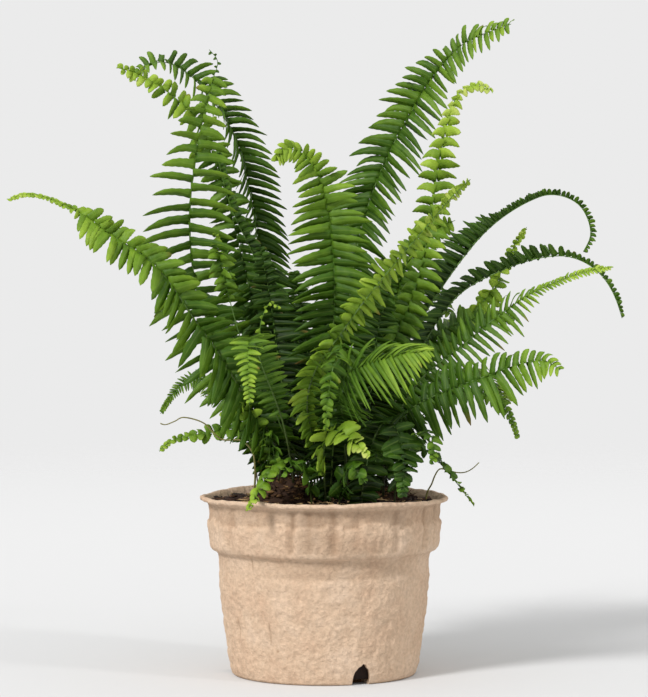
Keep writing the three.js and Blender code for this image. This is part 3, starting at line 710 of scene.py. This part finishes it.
def resample(profile, step):
    points = []
    for a, b in zip(profile, profile[1:]):
        count = max(1, round(math.dist(a, b) / step))
        for k in range(count):
            points.append((a[0] + (b[0] - a[0]) * k / count, a[1] + (b[1] - a[1]) * k / count))
    return points


potRandom = random.Random(7)
backPleats = [(potRandom.uniform(85, 275), potRandom.uniform(0.5, 2.2), potRandom.uniform(2.2, 4))
              for _ in range(11)]


def degreesFromFront(x, y):
    return math.degrees(math.atan2(x, -y))


def angleGap(a, b):
    return (a - b + 180) % 360 - 180


def panelEdge(co):
    # uneven, stepped upper edge of the collar's proud panels, mm
    step = round(2.4 * wobble((co.x, co.y, 0), 0.019, 27))
    return 103.2 + 2.2 * step + 1.6 * wobble((co.x, co.y, 0), 0.009, 21)


def pleatGap(co, turn, degrees):
    # mm sideways from a pleat, which wanders a little as it rises
    return angleGap(turn + 1.2 * wobble((co.x, co.y, co.z * 0.6), 0.014, degrees), degrees) * 1.35


def pulpRelief(co):
    # how far the wet-moulded skin stands in or out of the plain form, mm
    x, y, z = co.x / mm, co.y / mm, co.z / mm
    turn = degreesFromFront(x, y)
    place = (co.x, co.y, co.z * 0.6)
    onBody = smoothStep(*pot["footEdge"], z) * (1 - smoothStep(*pot["bodyTop"], z))
    onStrip = smoothStep(*pot["bodyTop"], z) * (1 - smoothStep(*pot["stripTop"], z))
    onCollar = smoothStep(*pot["collarFoot"], z) * (1 - smoothStep(*pot["collarTop"], z))
    onLip = smoothStep(*pot["lipFoot"], z)
    rough = 0.35 * wobble(place, 0.012, 3) + 0.7 * wobble(place, 0.005, 5)
    # pulp stands in small soft blisters with sharp creases between them
    blister = abs(wobble(place, 0.0046, 9)) + 0.75 * abs(wobble(place, 0.0027, 14)) - 0.42
    rough += 0.85 * blister
    offset = rough * (0.95 * onBody + 0.4 * onStrip + 0.75 * onCollar + 0.5 * onLip + 0.15)
    offset += 0.7 * wobble((co.x, co.y, 0), 0.03, 1) + 0.3 * wobble(place, 0.028, 12) * onBody
    stripEdge = 68 + 2.5 * wobble((co.x, co.y, 0), 0.014, 17)
    offset += 0.55 * (1 - smoothStep(stripEdge - 2, stripEdge + 1.5, z)) * smoothStep(0, 6, z)
    # collar panels: proud below, sunk above, split by pleats
    band = wobble((co.x, co.y, 0), 0.022, 21)
    panelTop = panelEdge(co)
    offset += onCollar * (1.1 * (1 - smoothStep(panelTop - 0.8, panelTop + 0.8, z)) - 0.6 + 0.5 * band)
    for degrees, depth, width in pot["pleats"] + backPleats:
        gap = pleatGap(co, turn, degrees)
        if abs(gap) < width * 3:
            groove = math.exp(-(gap / width) ** 2)
            fade = smoothStep(84, 90, z + 2 * wobble(place, 0.01, 2)) * (1 - 0.65 * onLip)
            offset -= depth * groove * fade
            shoulder = math.exp(-((abs(gap) - 1.7 * width) / (0.7 * width)) ** 2)
            offset += 0.35 * depth * shoulder * fade * (1 - onLip)
    for degrees, middle, halfLength, depth in pot["cracks"]:
        gap = angleGap(turn + 1.0 * wobble(place, 0.006, 4), degrees) * 1.2
        run = abs(z - middle) / halfLength
        if abs(gap) < 1.6 and run < 1:
            offset -= depth * math.exp(-(gap / 0.45) ** 2) * (1 - run ** 2)
    for degrees, middle, width, depth in pot["pits"]:
        gap = math.hypot(angleGap(turn, degrees) * 1.1, z - middle)
        offset -= depth * math.exp(-(gap / width) ** 2)
    return max(offset, -pot["deepest"])


def paintedShadeAt(co):
    # painted shade in cracks, pits and pleats, in the sunk band above the collar panels, and inside the rim
    x, y, z = co.x / mm, co.y / mm, co.z / mm
    turn = degreesFromFront(x, y)
    belowLip = 1 - smoothStep(113.5, 116, z)
    # painted shade in the sunk band above the proud collar panels
    amount = 0.24 * smoothStep(0, 1.5, z - panelEdge(co)) * belowLip
    # painted shade in patches on the collar and on the strip under it, right of the middle
    patch = 0.5 + 0.9 * wobble(co, 0.02, 61)
    paintedDark = smoothStep(-15, -10, turn) * (1 - smoothStep(30, 50, turn))
    amount += 0.36 * smoothStep(85, 88, z) * belowLip * paintedDark * max(0.15, patch)
    onStrip = smoothStep(68, 71, z + 3 * wobble(co, 0.012, 71)) * (1 - smoothStep(80, 83, z))
    amount += 0.24 * onStrip * (1 - smoothStep(20, 60, abs(turn - 12)))
    # painted shade along the pleat grooves of the collar
    onPleats = smoothStep(84, 90, z) * (1 - smoothStep(112, 116, z))
    for degrees, depth, width in pot["pleats"]:
        gap = pleatGap(co, turn, degrees)
        amount += 0.16 * depth * math.exp(-(gap / (0.7 * width)) ** 2) * onPleats
    # painted shade in the cracks and pits
    for degrees, middle, halfLength, depth in pot["cracks"]:
        gap = angleGap(turn + 1.0 * wobble((co.x, co.y, co.z * 0.7), 0.006, 4), degrees) * 1.2
        run = abs(z - middle) / halfLength
        if run < 1:
            amount = max(amount, 0.55 * depth * math.exp(-(gap / 0.45) ** 2))
    for degrees, middle, width, depth in pot["pits"]:
        away = math.hypot(angleGap(turn, degrees) * 1.1, z - middle)
        amount = max(amount, 0.75 * math.exp(-(away / width) ** 2))
    return amount


def buildPot():
    fine = resample(pot["outside"][3:], pot["fineStep"])
    floor = resample(pot["outside"][:4], 8.0)
    inner = resample(pot["outside"][-1:] + pot["inside"], pot["coarseStep"]) + [pot["inside"][-1]]
    profile = floor + fine + inner
    bm = lathe(profile, pot["turns"])
    grime = bm.verts.layers.float.new("grime")
    for v in bm.verts:
        radial = math.hypot(v.co.x, v.co.y)
        z = v.co.z
        outer = radial > pot["midWall"][0] + z * pot["midWall"][1] and z > 0.0006
        if outer or z > 0.1145:
            offset = pulpRelief(v.co) * mm * smoothStep(0, 0.004, z)
            lipRise = smoothStep(0.114, 0.118, z)
            v[grime] = paintedShadeAt(v.co)
            v.co.x += v.co.x / radial * offset
            v.co.y += v.co.y / radial * offset
            wave = 1.2 * wobble((v.co.x, v.co.y, 0), 0.024, 31) + 0.7 * wobble((v.co.x, v.co.y, 0), 0.008, 33)
            v.co.z += lipRise * (wave - 1.6 * abs(v.co.x / radial) ** 3) * mm
        elif radial > 0.04 and z > 0.02:
            # painted shade on the inner wall, darker below the rim
            v[grime] = 0.85 * smoothStep(0.1185, 0.1145, z)
    print("pot faces:", len(bm.faces))
    return bm


def notchCutter(degrees):
    # arch-shaped drain notch at the foot
    bm = bmesh.new()
    outline = [(-6.2, -3), (6.2, -3), (6.0, 6), (5.1, 9.4), (3.6, 11.2), (2.6, 13.2), (0.6, 14.0),
               (-0.6, 12.6), (-2.6, 11.6), (-4.6, 9), (-5.8, 6)]
    verts = [bm.verts.new((x * mm, -pot["notchReach"] * mm, z * mm)) for x, z in outline]
    face = bm.faces.new(verts)
    grown = bmesh.ops.extrude_face_region(bm, geom=[face])["geom"]
    bmesh.ops.translate(bm, verts=[g for g in grown if isinstance(g, bmesh.types.BMVert)], vec=(0, -0.028, 0))
    bmesh.ops.recalc_face_normals(bm, faces=bm.faces[:])
    turned = Matrix.Rotation(math.radians(degrees), 3, "Z")
    bmesh.ops.rotate(bm, verts=bm.verts[:], cent=(0, 0, 0), matrix=turned)
    return addObject("notch_cutter", meshFrom("notch_cutter", bm))


potPiece = finishPiece("pot_fibre", buildPot(), [fibrePulp], "pot")
cutters = [notchCutter(degrees) for degrees in pot["notches"]]
for cutter in cutters:
    cut = potPiece.modifiers.new("notch", "BOOLEAN")
    cut.operation = "DIFFERENCE"
    cut.solver = "EXACT"
    cut.object = cutter
bpy.context.view_layer.update()
carved = bpy.data.meshes.new_from_object(potPiece.evaluated_get(bpy.context.evaluated_depsgraph_get()))
potPiece.modifiers.clear()
potPiece.data = carved
for cutter in cutters:
    bpy.data.objects.remove(cutter)
# painted shade: the cut faces of the notches are darkened
notchShade = carved.attributes["grime"].data
for v in carved.vertices:
    radial, height = math.hypot(v.co.x, v.co.y), v.co.z
    turn = degreesFromFront(v.co.x, v.co.y)
    nearNotch = min(abs(angleGap(turn, degrees)) for degrees in pot["notches"])
    inWall = pot["notchShadeWall"][0] < radial < pot["notchShadeWall"][1]
    if nearNotch < pot["notchShadeNear"] and inWall and height < pot["notchShadeTop"]:
        notchShade[v.index].value = 1.0
print("pot moulded")


# potting mix
mix = {
    # body under the loose top: radius and height, mm
    "body": [(0, 3.6), (59, 3.6), (61, 19), (65, 49), (67.1, 77.6), (68.1, 82.7), (72.2, 86.1),
             (74.2, 100), (74.2, 106)],
    "turns": 120,
    "top": 115.4,
    "chipReach": 0.0755,
    "strawReach": 0.0735,
    "fall": 1.6,  # how much lower it lies by the wall, mm
    "chips": 1300,
    "straws": 90,
    "chipSpread": 75.5,
    "strawSpread": 70,
}


def holdWithin(co, reach):
    radial = math.hypot(co.x, co.y)
    if radial > reach:
        co.x *= reach / radial
        co.y *= reach / radial


def mixHeight(x, y):
    # surface of the potting mix, mm, lower near the wall
    radial = math.hypot(x, y)
    fall = smoothStep(48, 74, radial)
    lumps = 1.5 * wobble((x * mm, y * mm, 0), 0.014, 41) + 0.9 * wobble((x * mm, y * mm, 0), 0.006, 43)
    return mix["top"] - mix["fall"] * fall + lumps


def addChip(bm, tone, place, size, shade, rng):
    # one crumb of bark
    chip = bmesh.ops.create_icosphere(bm, subdivisions=1, radius=1.0)["verts"]
    shape = Matrix.Diagonal((size * rng.uniform(0.6, 1.7), size * rng.uniform(0.35, 0.8),
                             size * rng.uniform(0.2, 0.5)))
    turned = Matrix.Rotation(rng.uniform(0, 6.28), 3, "Z") @ Matrix.Rotation(rng.uniform(-0.8, 0.8), 3, "X")
    for v in chip:
        v.co = turned @ (shape @ (v.co * rng.uniform(0.7, 1.25))) + place
        holdWithin(v.co, mix["chipReach"])
        v[tone] = shade


def mixSpot(spread, rng):
    turn = rng.uniform(0, 2 * math.pi)
    reach = spread * math.sqrt(rng.random())
    return reach * math.sin(turn), -reach * math.cos(turn)


def buildMix():
    bm = lathe(mix["body"] + [(r, 114) for r in range(73, -1, -2)] + [(0, 114)], mix["turns"])
    tone = bm.verts.layers.float.new("tone")
    for v in bm.verts:
        v[tone] = 0.28
        if v.co.z > 0.113:
            v.co.z = mixHeight(v.co.x / mm, v.co.y / mm) * mm
    rng = random.Random(11)
    for i in range(mix["chips"]):
        x, y = mixSpot(mix["chipSpread"], rng)
        size = rng.uniform(1.0, 3.6) * (1.5 if rng.random() < 0.12 else 1)
        shade = min(0.9, max(0.0, rng.gauss(0.42, 0.2)))
        addChip(bm, tone, Vector((x, y, mixHeight(x, y) + 0.3 * size)) * mm, size * mm, shade, rng)
    for i in range(mix["straws"]):
        x, y = mixSpot(mix["strawSpread"], rng)
        length = rng.uniform(5, 15)
        straw = bmesh.ops.create_cone(bm, cap_ends=True, segments=6, radius1=rng.uniform(0.35, 0.8) * mm,
                                      radius2=0.3 * mm, depth=length * mm)["verts"]
        lay = (Matrix.Rotation(rng.uniform(0, 6.28), 3, "Z")
               @ Matrix.Rotation(math.pi / 2 + rng.uniform(-0.35, 0.2), 3, "X"))
        for v in straw:
            v.co = lay @ v.co + Vector((x, y, mixHeight(x, y) + 1.8)) * mm
            holdWithin(v.co, mix["strawReach"])
            v[tone] = 0.98
    return bm


finishPiece("potting_mix_bark", buildMix(), [barkMix], "potting_mix")
print("potting mix filled")


# crowns
crownLooks = {
    "crown_left": {"chips": 420, "scales": 30, "seed": 51},
    "crown_middle": {"chips": 260, "scales": 30, "seed": 52},
    "crown_right": {"chips": 200, "scales": 24, "seed": 53},
}


def crownSpot(middle, wide, tall, spread, rng):
    turn, reach = rng.uniform(0, 6.28), math.sqrt(rng.random()) * spread
    rise = tall * math.sqrt(max(0.0, 1 - reach ** 2))
    return turn, reach, middle + Vector((reach * math.cos(turn) * wide, reach * math.sin(turn) * wide, rise))


def buildCrown(name, look):
    low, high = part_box(name)
    middle = Vector(((low.x + high.x) / 2, (low.y + high.y) / 2, low.z))
    wide, tall = (high.x - low.x) / 2, high.z - low.z
    rng = random.Random(look["seed"])
    bm = bmesh.new()
    bm.loops.layers.uv.new("leaf")
    tone = bm.verts.layers.float.new("tone")
    dome = bmesh.ops.create_icosphere(bm, subdivisions=4, radius=1.0)["verts"]
    for v in dome:
        rise = max(v.co.z, -0.25)
        spread = Vector((v.co.x * wide, v.co.y * wide, rise * tall))
        lump = 1 + 0.16 * wobble(v.co, 0.35, look["seed"]) + 0.08 * wobble(v.co, 0.12, look["seed"])
        v.co = middle + spread * lump
        v[tone] = 0.3
    for i in range(look["chips"]):
        foot = crownSpot(middle, wide, tall, 0.99, rng)[2]
        size = rng.uniform(0.9, 2.8) * mm
        addChip(bm, tone, foot, size, min(0.9, max(0.0, rng.gauss(0.48, 0.2))), rng)
    for i in range(look["scales"]):
        turn, reach, foot = crownSpot(middle, wide, tall, 0.95, rng)
        hair = bmesh.ops.create_cone(bm, cap_ends=True, segments=5, radius1=rng.uniform(0.4, 0.9) * mm,
                                     radius2=0.1 * mm, depth=rng.uniform(4, 9) * mm)["verts"]
        lean = (Matrix.Rotation(turn, 3, "Z")
                @ Matrix.Rotation(0.35 + reach * 0.9 + rng.uniform(-0.3, 0.3), 3, "Y"))
        shade = rng.uniform(0.25, 0.85)
        for v in hair:
            v.co = foot + lean @ (v.co + Vector((0, 0, 0.0015)))
            v[tone] = shade
    return bm


for name, look in crownLooks.items():
    finishPiece(name + "_scales", buildCrown(name, look), [scalyCrown], name)
print("crowns built")


# stage, light, camera
stage = {
    "background": "#ebebeb",
    "floorColour": "#d0d0d0",
    "reach": 6.0,
    "lowSky": 0.22,
    "highSky": 0.92,
    "keyStrength": 2.55,
    "keyAngle": 12,
    "keyFrom": (-0.85, -1.0, 1.0),
    "fillStrength": 0.62,
    "fillAngle": 7,
    "fillFrom": (1.0, -0.6, 0.5),
}


def floorMaterial():
    # plain matt studio paper that fades into the backdrop far from the object
    material = startMaterial("studio_floor")
    place = addNode(material, "ShaderNodeTexCoord")
    away = addNode(material, "ShaderNodeVectorMath", {"operation": "LENGTH"}, {0: (place, "Object")})
    fade = addNode(material, "ShaderNodeMapRange", {"interpolation_type": "SMOOTHSTEP"},
                   {"Value": (away, 1), "From Min": 0.9, "From Max": 2.4, "To Min": 0.0, "To Max": 1.0})
    paper = addNode(material, "ShaderNodeBsdfDiffuse", None, {"Color": linearColour(stage["floorColour"])})
    clear = addNode(material, "ShaderNodeBsdfTransparent")
    both = addNode(material, "ShaderNodeMixShader", None, {0: (fade, 0), 1: (paper, 0), 2: (clear, 0)})
    addNode(material, "ShaderNodeOutputMaterial", None, {0: (both, 0)})
    return material


bm = bmesh.new()
bmesh.ops.create_circle(bm, cap_ends=True, segments=64, radius=stage["reach"])
floorMesh = meshFrom("studio_floor", bm)
floorMesh.materials.append(floorMaterial())
floor = addObject("studio_floor", floorMesh)

# soft overhead light: brighter from above than from below, in front of an even pale backdrop
world = bpy.data.worlds.new("studio_air")
world.use_nodes = True
world.node_tree.nodes.clear()
skyPlace = addNode(world, "ShaderNodeTexCoord")
skyHeight = addNode(world, "ShaderNodeSeparateXYZ", None, {0: (skyPlace, "Generated")})
skyShade = addNode(world, "ShaderNodeMapRange", {"interpolation_type": "SMOOTHSTEP"},
                   {"Value": (skyHeight, 2), "From Min": -0.4, "From Max": 0.9,
                    "To Min": stage["lowSky"], "To Max": stage["highSky"]})
softLight = addNode(world, "ShaderNodeBackground", None, {0: linearColour("#ffffff"), 1: (skyShade, 0)})
backdrop = addNode(world, "ShaderNodeBackground", None, {0: linearColour(stage["background"])})
rays = addNode(world, "ShaderNodeLightPath")
air = addNode(world, "ShaderNodeMixShader", None,
              {0: (rays, "Is Camera Ray"), 1: (softLight, 0), 2: (backdrop, 0)})
addNode(world, "ShaderNodeOutputWorld", None, {0: (air, 0)})
bpy.context.scene.world = world


def addSun(name, comesFrom, strength, angle):
    data = bpy.data.lights.new(name, "SUN")
    data.energy = strength
    data.angle = math.radians(angle)
    addObject(name, data).rotation_euler = Vector(comesFrom).to_track_quat("Z", "Y").to_euler()


addSun("key_light", stage["keyFrom"], stage["keyStrength"], stage["keyAngle"])
addSun("fill_light", stage["fillFrom"], stage["fillStrength"], stage["fillAngle"])

camera = {
    "place": (0, -1.95, 0.284),
    "aim": (0, 0, 0.2166),
    "lens": 151.4,
}
lens = bpy.data.cameras.new("studio_camera")
lens.lens = camera["lens"]
lens.sensor_width = 36
lens.clip_end = 30
viewer = addObject("studio_camera", lens)
viewer.location = camera["place"]
aimLine = Vector(camera["aim"]) - Vector(camera["place"])
viewer.rotation_euler = aimLine.to_track_quat("-Z", "Y").to_euler()
bpy.context.scene.camera = viewer
bpy.context.scene.view_settings.view_transform = "Standard"
bpy.context.scene.view_settings.look = "None"
print("stage set")
